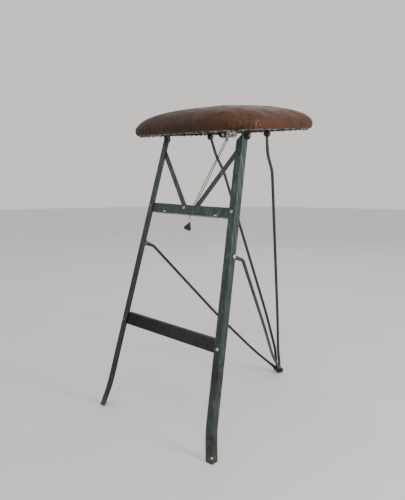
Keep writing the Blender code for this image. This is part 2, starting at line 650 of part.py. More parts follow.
def make_cushion():
    """Domed pad: a sphere pressed to the seat's plan, crown and rolled rim."""
    bm = bmesh.new()
    bmesh.ops.create_uvsphere(bm, u_segments=48, v_segments=18, radius=1.0)
    for vert in bm.verts:
        level = math.asin(max(-1.0, min(1.0, vert.co.z)))
        flat = Vector((vert.co.x, vert.co.y))
        if level >= 0.0:
            reach = math.cos(level) ** (2 / SEAT_FULLNESS)
            z = SEAT_EDGE_Z + (SEAT_CROWN_Z - SEAT_EDGE_Z) * math.sin(level)
        else:
            reach = 1 - SEAT_UNDER_ROUND / SEAT_HALF_Y * (1 - math.cos(level))
            z = SEAT_EDGE_Z + (SEAT_EDGE_Z - SEAT_RIM_Z) * math.sin(level)
        if flat.length > 1e-9:
            c, s = flat.normalized()
            x = math.copysign(abs(c) ** (2 / SEAT_SQUARENESS), c) * SEAT_HALF_X * reach
            y = math.copysign(abs(s) ** (2 / SEAT_SQUARENESS), s) * SEAT_HALF_Y * reach
        else:
            x = y = 0.0
        vert.co = (x, SEAT_CENTRE_Y + y, z)
    cushion = new_piece("seat_cushion", bm, LEATHER, seat_hinge, smooth=True)
    recess = seat_slab(BOARD_INSET - CLEARANCE, -0.01, BOARD_UNDER_Z + BOARD_THICKNESS + CLEARANCE)
    boolean(cushion, new_cutter("board_recess", recess, seat_hinge))
    return cushion


def make_board_and_cover():
    new_piece("seat_board", seat_slab(BOARD_INSET, BOARD_UNDER_Z, BOARD_UNDER_Z + BOARD_THICKNESS),
              PLYWOOD, seat_hinge)
    top = BOARD_UNDER_Z - CLEARANCE
    new_piece("seat_lining", seat_slab(COVER_INSET, top - COVER_THICKNESS, top), LINING, seat_hinge)
    return top - COVER_THICKNESS - CLEARANCE


def make_bracket(label, sign, pivot_y, pivot_z, ear_x, under_z):
    """An angle bracket: a plate screwed up under the board and an ear round the pivot."""
    inner, outer = ear_x, ear_x + PLATE_THICKNESS
    plate_low = under_z - PLATE_THICKNESS
    half = BRACKET_PLATE_Y / 2
    profile = ([(pivot_y + half, plate_low), (pivot_y + half, under_z), (pivot_y - half, under_z),
                (pivot_y - half, plate_low), (pivot_y - EAR_RADIUS, plate_low)]
               + arc((pivot_y, pivot_z), EAR_RADIUS, 180, 360, 10)
               + [(pivot_y + EAR_RADIUS, plate_low)])
    bm = swept_outline(profile, [lambda y, z: Vector((sign * inner, y, z)),
                                 lambda y, z: Vector((sign * outer, y, z))])
    bracket = new_piece(f"bracket_{label}", bm, DARK_STEEL, seat_hinge, smooth=True)
    near, far = sorted((sign * (inner + 0.001), sign * (inner + BRACKET_PLATE_X)))
    plate = box_bmesh((near, pivot_y - half, plate_low), (far, pivot_y + half, under_z))
    boolean(bracket, new_cutter(f"bracket_plate_{label}", plate, seat_hinge), "UNION")
    bore(bracket, f"ear_hole_{label}", (sign * (inner - 0.002), pivot_y, pivot_z),
         (sign * (outer + 0.002), pivot_y, pivot_z), PIVOT_BOLT_RADIUS + CLEARANCE)
    screw_x = sign * (inner + 0.6 * BRACKET_PLATE_X)
    for number, offset in enumerate((-SCREW_OFFSET_Y, SCREW_OFFSET_Y), 1):
        y = pivot_y + offset
        bore(bracket, f"screw_hole_{label}_{number}", (screw_x, y, plate_low - 0.002),
             (screw_x, y, under_z + 0.0002), SCREW_SHANK_RADIUS + CLEARANCE)
        make_screw(f"screw_{label}_{number}", screw_x, y, plate_low - CLEARANCE, under_z)
    return bracket


def make_screw(name, x, y, head_top, shank_top):
    """A round-head wood screw, its head below head_top and its shank up to shank_top."""
    head = [(SCREW_HEAD_RADIUS * math.cos(a), head_top - SCREW_HEAD_HEIGHT * math.sin(a))
            for a in (math.radians(30 * i) for i in range(4))]
    head[-1] = (0.0, head[-1][1])
    profile = [(0.0, shank_top), (SCREW_SHANK_RADIUS, shank_top), (SCREW_SHANK_RADIUS, head_top)] + head
    new_turned(name, profile, BRIGHT_STEEL, seat_hinge).location = (x, y, 0.0)


def make_pivot_bolt(label, sign, pivot_y, pivot_z, head_x, nut_x):
    """A bolt along X: its head on the inner side ends at head_x, its nut starts at nut_x."""
    bolt = bmesh.new()
    tip = nut_x + NUT_HEIGHT + 0.0012
    add_cylinder(bolt, (sign * (head_x - 0.0004), pivot_y, pivot_z), (sign * tip, pivot_y, pivot_z),
                 PIVOT_BOLT_RADIUS, 14)
    shaft = new_piece(f"pivot_bolt_{label}", bolt, BRIGHT_STEEL, seat_hinge, smooth=True)
    head = cylinder_bmesh((sign * (head_x - PIVOT_HEAD_HEIGHT), pivot_y, pivot_z),
                          (sign * head_x, pivot_y, pivot_z), PIVOT_HEAD_RADIUS)
    boolean(shaft, new_cutter(f"bolt_head_{label}", head, seat_hinge), "UNION")
    nut = new_piece(f"pivot_nut_{label}", cylinder_bmesh((sign * nut_x, pivot_y, pivot_z),
                    (sign * (nut_x + NUT_HEIGHT), pivot_y, pivot_z), NUT_RADIUS, 6), BRIGHT_STEEL, seat_hinge)
    bore(nut, f"nut_hole_{label}", (sign * (nut_x - 0.002), pivot_y, pivot_z),
         (sign * (nut_x + NUT_HEIGHT + 0.002), pivot_y, pivot_z), PIVOT_BOLT_RADIUS + CLEARANCE)


def make_seat_fittings(under_z):
    rear_y, rear_z = seat_local(REAR_PIVOT)
    for side_name, sign in SIDES.items():
        make_bracket(f"front_{side_name}", sign, 0.0, 0.0, FRONT_EAR_X, under_z)
        make_bracket(f"rear_{side_name}", sign, rear_y, rear_z, REAR_EAR_X, under_z)
        front_head = leg_corner_x(FRONT_PIVOT_S) - ANGLE_THICKNESS - 0.0010
        make_pivot_bolt(f"front_{side_name}", sign, 0.0, 0.0, front_head,
                        FRONT_EAR_X + PLATE_THICKNESS + CLEARANCE)
        make_pivot_bolt(f"rear_{side_name}", sign, rear_y, rear_z, ROD_TOP_X - EYE_THICKNESS / 2 - CLEARANCE,
                        REAR_EAR_X + PLATE_THICKNESS + CLEARANCE)


def seat_local(point):
    """(y, z) of a world point in the seat's sloping frame."""
    offset = Matrix.Rotation(-SEAT_SLOPE, 3, "X") @ (point - FRONT_PIVOT)
    return offset.y, offset.z


def seat_to_world(y, z):
    return FRONT_PIVOT + Matrix.Rotation(SEAT_SLOPE, 3, "X") @ Vector((0, y, z))


# ---- latch and pull cord -----------------------------------------------------------------

def make_latch(under_z):
    """Half-round sheet housing under the board, its flanges screwed up, a tongue inside."""
    front, rear = HOUSING_Y - HOUSING_LENGTH / 2, HOUSING_Y + HOUSING_LENGTH / 2
    inner = HOUSING_RADIUS - HOUSING_WALL
    flange_x = HOUSING_RADIUS + HOUSING_FLANGE
    outline = ([(flange_x, under_z - HOUSING_WALL), (flange_x, under_z), (inner, under_z)]
               + arc((0.0, under_z), inner, 0, -180, 14)[1:-1]
               + [(-inner, under_z), (-flange_x, under_z), (-flange_x, under_z - HOUSING_WALL)]
               + arc((0.0, under_z), HOUSING_RADIUS, 180 + 4.7, 360 - 4.7, 14))
    housing = new_piece("latch_housing", swept_outline(outline, [lambda x, z: Vector((x, front, z)),
                                                                 lambda x, z: Vector((x, rear, z))]),
                        BRIGHT_STEEL, seat_hinge, smooth=True)
    slot = box_bmesh((-SLOT_WIDTH / 2, LUG_Y - SLOT_LENGTH / 2 - 0.003, under_z - HOUSING_RADIUS - 0.003),
                     (SLOT_WIDTH / 2, LUG_Y + SLOT_LENGTH / 2 - 0.003, under_z - HOUSING_RADIUS + 0.005))
    boolean(housing, new_cutter("tongue_slot", slot, seat_hinge))
    for name, sign in SIDES.items():
        x = sign * (HOUSING_RADIUS + 0.55 * HOUSING_FLANGE)
        bore(housing, f"housing_hole_{name}", (x, HOUSING_Y, under_z - HOUSING_WALL - 0.002),
             (x, HOUSING_Y, under_z + 0.0002), SCREW_SHANK_RADIUS + CLEARANCE)
        make_screw(f"screw_latch_{name}", x, HOUSING_Y, under_z - HOUSING_WALL - CLEARANCE, under_z)

    width, length, height = TONGUE_SIZE
    middle = HOUSING_Y + TONGUE_SETBACK
    bar = box_bmesh((-width / 2, middle - length / 2, TONGUE_Z - height / 2),
                    (width / 2, middle + length / 2, TONGUE_Z + height / 2))
    tongue = new_piece("latch_tongue", bar, BRIGHT_STEEL, tongue_slide)
    lug = box_bmesh((-LUG_THICKNESS / 2, LUG_Y - LUG_WIDTH / 2, LUG_DROP_Z),
                    (LUG_THICKNESS / 2, LUG_Y + LUG_WIDTH / 2, TONGUE_Z))
    boolean(tongue, new_cutter("tongue_lug", lug, tongue_slide), "UNION")
    bore(tongue, "bail_hole", (-0.006, BAIL_PIVOT_Y, BAIL_PIVOT_Z), (0.006, BAIL_PIVOT_Y, BAIL_PIVOT_Z),
         BAIL_WIRE_RADIUS + 0.0004)


def make_bail():
    """A narrow closed loop of wire that hangs from the tongue's lug towards the cord hole."""
    down = (CORD_HOLE - BAIL_PIVOT).normalized()
    tight, wide = BAIL_CORNERS
    corners = ((1, tight, tight, 270), (1, wide, BAIL_LENGTH - wide, 0),
               (-1, wide, BAIL_LENGTH - wide, 90), (-1, tight, tight, 180))
    loop = []
    for sign, reach, drop, start in corners:
        loop += arc((sign * (BAIL_HALF_WIDTH - reach), drop), reach, start, start + 90, 5)
    new_wire("latch_bail", [(x, down.y * d, down.z * d) for x, d in loop], BAIL_WIRE_RADIUS,
             BRIGHT_STEEL, bail_hinge, closed=True)


def smooth_route(points, spacing):
    """Points every spacing or so along a smooth curve through the given points."""
    points = [Vector(p) for p in points]
    padded = [2 * points[0] - points[1]] + points + [2 * points[-1] - points[-2]]
    route = []
    for a, b, c, d in zip(padded, padded[1:], padded[2:], padded[3:]):
        steps = max(1, round((c - b).length / spacing))
        for i in range(steps):
            t = i / steps
            route.append(0.5 * ((2 * b) + (c - a) * t + (2 * a - 5 * b + 4 * c - d) * t ** 2
                                + (3 * b - a - 3 * c + d) * t ** 3))
    return route + [points[-1]]


def add_cord(name, route_points, parent):
    new_wire(name, smooth_route(route_points, CORD_POINT_SPACING), CORD_RADIUS, STRING, parent)


def make_pull_cord():
    """The cord runs taut from the bail through the crossbar's hole; its tail holds the knob."""
    down = (CORD_HOLE - BAIL_PIVOT).normalized()
    start = BAIL_PIVOT + down * (BAIL_LENGTH + BAIL_WIRE_RADIUS + CLEARANCE)
    end = CORD_HOLE + Vector((0, 0.0012, 0.0012))
    add_cord("pull_cord", [start, start.lerp(end, 1 / 3), start.lerp(end, 2 / 3), end], None)
    tail_end = Vector((0, 0, -TAIL_LENGTH))
    add_cord("pull_cord_tail", [Vector(), tail_end / 2, tail_end], pull_slide)

    ring_centre = tail_end - Vector((0, 0, RING_RADIUS + RING_WIRE_RADIUS + CLEARANCE))
    ring = [(x, 0.0, z) for x, z in arc((0.0, 0.0), RING_RADIUS, 0, 360, RING_POINTS)[:-1]]
    pull_ring = new_wire("pull_ring", ring, RING_WIRE_RADIUS, BRIGHT_STEEL, pull_slide, closed=True)
    pull_ring.location = ring_centre

    knob_top = ring_centre.z - RING_RADIUS - RING_WIRE_RADIUS - CLEARANCE
    half = KNOB_WIDTH / 2
    low = knob_top - KNOB_HEIGHT
    corner = 0.0035
    outline = (arc((0.0, knob_top - 0.0022), 0.0022, 20, 160, 4)
               + arc((-half + corner, low + corner), corner, 165, 280, 5)
               + arc((half - corner, low + corner), corner, 260, 375, 5))
    front, rear = ring_centre.y - KNOB_THICKNESS / 2, ring_centre.y + KNOB_THICKNESS / 2
    bm = swept_outline(outline, [lambda x, z: Vector((x, front, z)), lambda x, z: Vector((x, rear, z))])
    knob = new_piece("pull_knob", bm, BLACK_PLASTIC, pull_slide)
    bevel = knob.modifiers.new("round", "BEVEL")
    bevel.width = 0.0015
    bevel.segments = 2
    bevel.limit_method = "ANGLE"


# ---- build -------------------------------------------------------------------------------

clear_scene()
parts = new_collection("three_leg_stool")
cutters = new_collection("cutters")

BAIL_PIVOT = seat_to_world(BAIL_PIVOT_Y, BAIL_PIVOT_Z)
CORD_HOLE = to_world(0, CROSSBAR_TOP_S + CROSSBAR_HEIGHT - ANGLE_THICKNESS / 2, CORD_HOLE_B)
TAIL_TOP = CORD_HOLE + Vector((0, -0.0004, -0.0022))

front_frame = new_empty("front_frame_datum", (0, FRAME_TOP_Y, FRAME_TOP_Z), -FRAME_LEAN)
strut_hinge = new_empty("strut_pivot_axis", STRUT_PIVOT)
seat_hinge = new_empty("seat_pivot_axis", FRONT_PIVOT, SEAT_SLOPE)
rear_hinge = new_empty("rear_rod_pivot_axis", REAR_PIVOT)
tongue_slide = new_empty("tongue_slide_axis", parent=seat_hinge)
bail_hinge = new_empty("bail_pivot_axis", BAIL_PIVOT)
pull_slide = new_empty("pull_slide_axis", TAIL_TOP)
bpy.context.view_layer.update()

for side, direction in SIDES.items():
    make_leg(side, direction)
    make_brace(side, direction)
make_crossbar()
make_footrest()
make_front_rivets()
make_struts()
make_rear_rods()
make_rear_foot()
make_cushion()
bracket_level = make_board_and_cover()
make_seat_fittings(bracket_level)
make_latch(bracket_level)
make_bail()
make_pull_cord()
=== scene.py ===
"""Looks of the folding three leg stool: painted angle steel, rods, a stuffed leather seat and a pull cord.

Units are metres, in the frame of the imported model: +Z up, -Y the front. Right is +X, as seen from the
front, which is the sitter's left hand.
"""

import json
import math

import bmesh
import bpy
from mathutils import Matrix, Vector, noise


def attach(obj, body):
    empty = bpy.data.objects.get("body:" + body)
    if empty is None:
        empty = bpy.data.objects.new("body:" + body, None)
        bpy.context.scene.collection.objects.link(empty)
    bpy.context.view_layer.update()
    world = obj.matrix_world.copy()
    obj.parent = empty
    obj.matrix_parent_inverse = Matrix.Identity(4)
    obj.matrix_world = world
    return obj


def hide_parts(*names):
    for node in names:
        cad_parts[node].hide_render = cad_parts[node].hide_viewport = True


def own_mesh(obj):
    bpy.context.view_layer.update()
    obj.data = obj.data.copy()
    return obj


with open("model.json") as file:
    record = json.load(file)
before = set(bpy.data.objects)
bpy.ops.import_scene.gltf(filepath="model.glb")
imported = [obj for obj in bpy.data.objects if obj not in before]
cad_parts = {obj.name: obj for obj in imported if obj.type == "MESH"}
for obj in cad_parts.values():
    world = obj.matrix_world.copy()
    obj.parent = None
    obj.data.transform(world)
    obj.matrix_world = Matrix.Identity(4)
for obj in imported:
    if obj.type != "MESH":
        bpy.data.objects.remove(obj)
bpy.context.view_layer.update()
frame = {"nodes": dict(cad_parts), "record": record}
nodes = frame["nodes"]

# ---- sizes ---------------------------------------------------------------------------------

CAMERA_PLACE = Vector((0.8901, -0.9791, 0.6071))
CAMERA_AZIMUTH, CAMERA_PITCH = math.radians(44.68), math.radians(-8.92)
CAMERA_LENS, CAMERA_SENSOR, CAMERA_CLIP = 37.62, 36.0, 0.01
FLOOR_RADIUS, FLOOR_SIDES = 7.0, 96
WORLD_COLOUR, WORLD_STRENGTH = (0.60, 0.585, 0.565), 1.45

# each soft lamp: name, place, what it points at, size, power, colour
LAMPS = (
    ("key", (1.1, -1.1, 2.4), (0.0, 0.0, 0.5), 1.4, 13.0, (1.0, 0.98, 0.95)),
    ("side", (2.3, 0.4, 1.2), (0.0, 0.0, 0.45), 0.9, 34.0, (1.0, 1.0, 1.0)),
    ("rear", (-1.2, 1.8, 1.9), (0.0, 0.0, 0.5), 1.6, 8.0, (1.0, 1.0, 1.0)),
)

# seat, in its own sloped frame: y runs back and z up from midway between the front pivots
SEAT_PIVOT = Vector((0.0, -0.0726, 0.6773))
SEAT_SLOPE = math.radians(3.5)
SEAT_HALF_X, SEAT_HALF_Y, SEAT_SQUARENESS, SEAT_FULLNESS = 0.196, 0.168, 4.4, 2.5
SEAT_CENTRE_Y = 0.0645
SEAT_RIM_Z, SEAT_EDGE_Z, SEAT_CROWN_Z = 0.0100, 0.0240, 0.0740
SEAT_UNDER_ROUND = 0.012
BOARD_INSET, BOARD_UNDER_Z = 0.015, 0.0175
STUFFING_ROOM = 0.0012        # the hide starts this much smaller and is pressed out
HIDE_ROWS_UP, HIDE_ROWS_DOWN, HIDE_SEGMENTS = 20, 8, 120
HIDE_VOXEL, HIDE_TRAVEL, HIDE_FRAMES = 0.0050, 0.0016, 16
TACKED_BAND = 0.005           # the hide is held this far up from the underside
TACK_SPACING, TACK_RADIUS, TACK_HEIGHT, TACK_SINK = 0.027, 0.0024, 0.0012, 0.0002

# puckers round the rim: pitch, least depth, extra depth at the corners
PUCKER_PITCH, PUCKER_DEPTH, PUCKER_CORNER_DEPTH = 0.0165, 0.0005, 0.0012
PUCKER_TOP, PUCKER_FADE = 0.014, 0.016
CORNER_START, CORNER_FADE = 0.55, 0.25
CROWN_SETTLE = 0.0008         # the worn crown sits a little lower all over
GATHER_CORNER = 0.885         # share of each half side at which the gathers are centred
GATHER_WIDE, GATHER_NARROW = 0.062, 0.020
HEM_LOW, HEM_HIGH = 0.0020, 0.0026

# cord, ring and grip
CORD_HOLE = Vector((0.0, -0.121487, 0.498549))
CORD_END_SHIFT = Vector((0.0, 0.0012, 0.0012))
BAIL_PIVOT = Vector((0.0, 0.006575, 0.676912))
BAIL_REACH = 0.0573           # bail pivot to the start of the cord
STRAND_RADIUS, STRAND_SPREAD, STRAND_STEPS = 0.00105, 0.0016, 60
STRAND_TURN = math.radians(-25.0)
RING_FOOT = Vector((0.0, -0.12189, 0.47943))     # where the grip hangs in the ring
KNOB_DROP, KNOB_HALF, KNOB_THICK = 0.0195, 0.0090, 0.0075
KNOB_TIP, KNOB_ROUND, KNOB_BEVEL = 0.0026, 0.0042, 0.0027
KNOB_TILT, KNOB_TURN = math.radians(22.0), math.radians(35.0)

WELD_DISTANCE = 0.000005
SIDES = ("right", "left")


def seat_to_world(point):
    return SEAT_PIVOT + Matrix.Rotation(SEAT_SLOPE, 3, "X") @ Vector(point)


# a rounded tuck in the hide, on the right side just behind the front corner
TUCK_REACH, TUCK_SWELL = 0.0135, 0.0028
TUCK_PLACE = seat_to_world((0.1915, -0.0330, 0.0210))
TUCK_FOLD, TUCK_FOLD_REACH = seat_to_world((0.1930, -0.0270, 0.0200)), 0.0065


# ---- mesh helpers --------------------------------------------------------------------------

def link_mesh(name, bm, material):
    """Turn a bmesh into a smooth-shaded object of one material."""
    mesh = bpy.data.meshes.new(name)
    bm.to_mesh(mesh)
    bm.free()
    mesh.shade_smooth()
    mesh.materials.append(material)
    obj = bpy.data.objects.new(name, mesh)
    bpy.context.scene.collection.objects.link(obj)
    return obj


def freeze(obj):
    """Replace an object's mesh by its evaluated one and drop its modifiers."""
    evaluated = obj.evaluated_get(bpy.context.evaluated_depsgraph_get())
    mesh = bpy.data.meshes.new_from_object(evaluated)
    obj.modifiers.clear()
    obj.data = mesh


# ---- camera, floor and light ---------------------------------------------------------------

def make_camera():
    data = bpy.data.cameras.new("camera")
    data.lens = CAMERA_LENS
    data.sensor_width = CAMERA_SENSOR
    data.clip_start = CAMERA_CLIP
    camera = bpy.data.objects.new("camera", data)
    bpy.context.scene.collection.objects.link(camera)
    camera.location = CAMERA_PLACE
    camera.rotation_euler = (math.pi / 2 + CAMERA_PITCH, 0.0, CAMERA_AZIMUTH)
    bpy.context.scene.camera = camera


def add_area_light(name, place, target, size, power, colour):
    data = bpy.data.lights.new(name, "AREA")
    data.shape = "DISK"
    data.size = size
    data.energy = power
    data.color = colour
    light = bpy.data.objects.new(name, data)
    bpy.context.scene.collection.objects.link(light)
    light.location = place
    light.rotation_euler = (Vector(target) - Vector(place)).to_track_quat("-Z", "Y").to_euler()


def make_studio():
    world = bpy.data.worlds.new("studio")
    bpy.context.scene.world = world
    world.use_nodes = True
    background = world.node_tree.nodes["Background"]
    background.inputs["Color"].default_value = (*WORLD_COLOUR, 1.0)
    background.inputs["Strength"].default_value = WORLD_STRENGTH
    for lamp in LAMPS:
        add_area_light(*lamp)

    paper = Shading("floor_paper", roughness=0.9)
    tone = paper.noise(3.0, detail=2.0)
    paper.colour(paper.ramp(tone, [(0.3, (0.700, 0.695, 0.685)), (0.7, (0.740, 0.735, 0.725))]))
    bm = bmesh.new()
    bmesh.ops.create_circle(bm, cap_ends=True, segments=FLOOR_SIDES, radius=FLOOR_RADIUS)
    floor = link_mesh("floor", bm, paper.material)


# ---- materials -----------------------------------------------------------------------------

class Shading:
    """One procedural material on a Principled shader, with short calls for its nodes."""

    def __init__(self, name, roughness=0.5, metallic=0.0):
        self.material = bpy.data.materials.new(name)
        self.material.use_nodes = True
        self.tree = self.material.node_tree
        self.shader = self.tree.nodes["Principled BSDF"]
        self.shader.inputs["Roughness"].default_value = roughness
        self.shader.inputs["Metallic"].default_value = metallic
        self.place = self.tree.nodes.new("ShaderNodeTexCoord").outputs["Object"]

    def node(self, kind, inputs=(), **settings):
        made = self.tree.nodes.new(kind)
        for key, value in settings.items():
            setattr(made, key, value)
        for key, value in dict(inputs).items():
            if isinstance(value, bpy.types.NodeSocket):
                self.tree.links.new(value, made.inputs[key])
            else:
                made.inputs[key].default_value = value
        return made

    def stretched(self, scale):
        return self.node("ShaderNodeMapping", {"Vector": self.place, "Scale": scale}).outputs["Vector"]

    def noise(self, scale, detail=4.0, roughness=0.55, distortion=0.0, place=None):
        inputs = {"Vector": place or self.place, "Scale": scale, "Detail": detail,
                  "Roughness": roughness, "Distortion": distortion}
        return self.node("ShaderNodeTexNoise", inputs).outputs["Fac"]

    def cell_walls(self, scale):
        """Distance to the walls of irregular cells."""
        inputs = {"Vector": self.place, "Scale": scale}
        return self.node("ShaderNodeTexVoronoi", inputs, feature="DISTANCE_TO_EDGE").outputs["Distance"]

    def waves(self, place, direction, scale, **inputs):
        made = self.node("ShaderNodeTexWave", {"Vector": place, "Scale": scale}, bands_direction=direction)
        for name, value in inputs.items():
            made.inputs[name.replace("_", " ").title()].default_value = value
        return made.outputs["Fac"]

    def ramp(self, factor, stops):
        made = self.node("ShaderNodeValToRGB", {"Fac": factor})
        elements = made.color_ramp.elements
        while len(elements) < len(stops):
            elements.new(0.5)
        for element, (position, colour) in zip(elements, stops):
            element.position = position
            element.color = (*colour, 1.0)
        return made.outputs["Color"]

    def mix(self, factor, first, second):
        """Blend two colours; a mix node for colours has them on its inputs 6 and 7."""
        colours = {6: first, 7: second}
        inputs = {key: (*value, 1.0) if isinstance(value, tuple) else value for key, value in colours.items()}
        return self.node("ShaderNodeMix", {0: factor, **inputs}, data_type="RGBA").outputs[2]

    def maths(self, operation, first, second=0.0):
        return self.node("ShaderNodeMath", {0: first, 1: second}, operation=operation).outputs["Value"]

    def span(self, value, low, high, to_low=0.0, to_high=1.0):
        inputs = {"Value": value, "From Min": low, "From Max": high, "To Min": to_low, "To Max": to_high}
        return self.node("ShaderNodeMapRange", inputs).outputs["Result"]

    def axis(self, name):
        return self.node("ShaderNodeSeparateXYZ", {"Vector": self.place}).outputs[name]

    def distance_to(self, point):
        return self.node("ShaderNodeVectorMath", {0: self.place, 1: tuple(point)},
                         operation="DISTANCE").outputs["Value"]

    def height_over(self, point, normal):
        """Distance from a plane through point, positive on the side of its normal."""
        along = self.node("ShaderNodeVectorMath", {0: self.place, 1: tuple(normal)}, operation="DOT_PRODUCT")
        return self.maths("SUBTRACT", along.outputs["Value"], Vector(point).dot(normal))

    def edges(self, radius):
        """1 on edges, 0 on flat faces, from how far the rounded normal leans."""
        rounded = self.node("ShaderNodeBevel", {"Radius": radius}, samples=4).outputs["Normal"]
        flat = self.node("ShaderNodeNewGeometry").outputs["Normal"]
        facing = self.node("ShaderNodeVectorMath", {0: rounded, 1: flat}, operation="DOT_PRODUCT")
        return self.span(facing.outputs["Value"], 0.98, 0.80)

    def colour(self, value):
        self.tree.links.new(value, self.shader.inputs["Base Color"])

    def set(self, name, value):
        if isinstance(value, bpy.types.NodeSocket):
            self.tree.links.new(value, self.shader.inputs[name])
        else:
            self.shader.inputs[name].default_value = value

    def bump(self, height, distance, strength=1.0, below=None):
        inputs = {"Height": height, "Distance": distance, "Strength": strength}
        if below is not None:
            inputs["Normal"] = below
        out = self.node("ShaderNodeBump", inputs).outputs["Normal"]
        self.tree.links.new(out, self.shader.inputs["Normal"])
        return out


def paint(name, dark, light, worn, edge_tone=(0.075, 0.085, 0.085), blotches=0.0, roughness=0.40,
          gleam=0.42):
    """Old brushed enamel: uneven tone, streaks of wear and painted highlight, rubbed arrises, small chips,
    blotches towards the floor, painted shade low down and to the left.
    """
    shading = Shading(name)
    clouds = shading.noise(22.0, detail=5.0, distortion=0.4)
    base = shading.ramp(clouds, [(0.32, dark), (0.68, light)])

    # long streaks of wear and painted highlight, rubbed edges and chips
    wear_and_highlight_streaks = shading.noise(210.0, detail=4.0, place=shading.stretched((1.0, 1.0, 0.045)))
    base = shading.mix(shading.span(wear_and_highlight_streaks, 0.50, 0.66, 0.0, 0.85), base, worn)
    edge = shading.edges(0.0013)
    patchy = shading.span(shading.noise(110.0, detail=5.0), 0.40, 0.58, 0.15, 0.9)
    rub = shading.maths("MULTIPLY", edge, patchy)
    base = shading.mix(rub, base, edge_tone)
    chips = shading.span(shading.noise(190.0, detail=3.0, roughness=0.4), 0.67, 0.69)
    base = shading.mix(chips, base, (0.030, 0.019, 0.013))

    # painted shade: darker lower down and towards the left, the side in shadow
    leftward_shade = shading.span(shading.axis("X"), 0.06, -0.15, 0.50, 0.88)
    painted_low_left_shade = shading.maths("MULTIPLY", shading.span(shading.axis("Z"), 0.66, 0.36, 0.0, 1.0), leftward_shade)
    base = shading.mix(painted_low_left_shade, base, (0.0040, 0.0058, 0.0066))

    if blotches:
        height = shading.axis("Z")
        tall = shading.stretched((1.0, 1.0, 0.55))
        patch = shading.span(shading.noise(26.0, detail=6.0, distortion=0.8, place=tall), 0.47, 0.55)
        patch = shading.maths("MULTIPLY", patch, shading.span(height, 0.26, 0.17))
        base = shading.mix(shading.maths("MULTIPLY", patch, blotches), base, (0.0035, 0.0038, 0.0042))
        dust = shading.maths("MULTIPLY", shading.span(height, 0.045, 0.008),
                             shading.span(shading.noise(60.0, detail=5.0), 0.35, 0.65, 0.3, 1.0))
        base = shading.mix(dust, base, (0.034, 0.032, 0.026))
    shading.colour(base)

    gloss = shading.noise(45.0, detail=5.0)
    shading.set("Roughness", shading.span(gloss, 0.3, 0.7, roughness - 0.12, roughness + 0.14))
    shading.set("Specular IOR Level", gleam)
    orange_peel = shading.bump(shading.noise(420.0, detail=2.0), 0.00012, 0.35)
    dents = shading.bump(shading.noise(60.0, detail=3.0), 0.0007, 0.35, below=orange_peel)
    shading.bump(shading.maths("SUBTRACT", 1.0, chips), 0.00015, 0.6, below=dents)
    return shading.material


def steel(name, bright, dull, roughness, spots=0.45, crumple=0.0):
    """Plated steel gone dull, with dark freckles; crumple adds dents and brown stains."""
    shading = Shading(name, metallic=1.0)
    tone = shading.noise(120.0, detail=5.0)
    base = shading.ramp(tone, [(0.35, dull), (0.65, bright)])
    freckles = shading.span(shading.noise(480.0, detail=3.0), 0.58, 0.66, 0.0, spots)
    base = shading.mix(freckles, base, (0.05, 0.038, 0.030))
    if crumple:
        stains = shading.span(shading.noise(85.0, detail=6.0, distortion=1.2), 0.46, 0.58, 0.0, crumple)
        base = shading.mix(stains, base, (0.060, 0.042, 0.030))
    shading.colour(base)
    shading.set("Roughness", shading.span(shading.noise(260.0), 0.3, 0.7, roughness - 0.1, roughness + 0.15))
    fine = shading.bump(shading.noise(700.0, detail=2.0), 0.00008, 0.4)
    if crumple:
        shading.bump(shading.noise(130.0, detail=4.0, distortion=0.8), 0.0022, crumple, below=fine)
    return shading.material


def corner_gathers(shading, over_pivot):
    """1 on smooth hide, less in the fine folds that run up the four corners."""
    side_band = shading.span(over_pivot, SEAT_EDGE_Z + 0.020, SEAT_EDGE_Z - 0.006)
    folds = 1.0
    for x_sign in (1, -1):
        for y_sign in (1, -1):
            corner = seat_to_world((x_sign * SEAT_HALF_X * GATHER_CORNER,
                                    SEAT_CENTRE_Y + y_sign * SEAT_HALF_Y * GATHER_CORNER, SEAT_EDGE_Z))
            near = shading.span(shading.distance_to(corner), GATHER_WIDE, GATHER_NARROW)
            spread = shading.maths("MULTIPLY", near, side_band)
            turn = (0.0, 0.0, -x_sign * y_sign * math.pi / 4)
            turned = shading.node("ShaderNodeMapping", {"Vector": shading.place, "Rotation": turn})
            pleat = shading.waves(turned.outputs["Vector"], "X", 34.0, distortion=5.0, detail_scale=3.0)
            folds = shading.maths("SUBTRACT", folds, shading.maths("MULTIPLY", pleat, spread))
    return folds


def tuck(shading, base):
    """Colour and height of the rounded tuck: a painted highlight on its swell and painted shade in its outer
    crease and its inner fold.
    """
    reach = shading.distance_to(TUCK_PLACE)
    from_rim = shading.maths("ABSOLUTE", shading.maths("SUBTRACT", reach, TUCK_REACH))
    crease = shading.span(from_rim, 0.0030, 0.0005)
    from_fold = shading.maths("SUBTRACT", shading.distance_to(TUCK_FOLD), TUCK_FOLD_REACH)
    fold = shading.span(shading.maths("ABSOLUTE", from_fold), 0.0022, 0.0004)
    fold = shading.maths("MULTIPLY", fold, shading.span(reach, 0.012, 0.010))
    # painted highlight on the swell of the tuck, then painted shade in its outer crease and its inner fold
    base = shading.mix(shading.span(reach, TUCK_REACH, 0.007, 0.0, 0.6), base, (0.200, 0.085, 0.034))
    base = shading.mix(shading.maths("MULTIPLY", crease, 0.10), base, (0.010, 0.0045, 0.0030))
    base = shading.mix(shading.maths("MULTIPLY", fold, 0.90), base, (0.006, 0.0030, 0.0024))
    return base, shading.maths("SUBTRACT", shading.span(reach, TUCK_REACH, 0.004), fold)


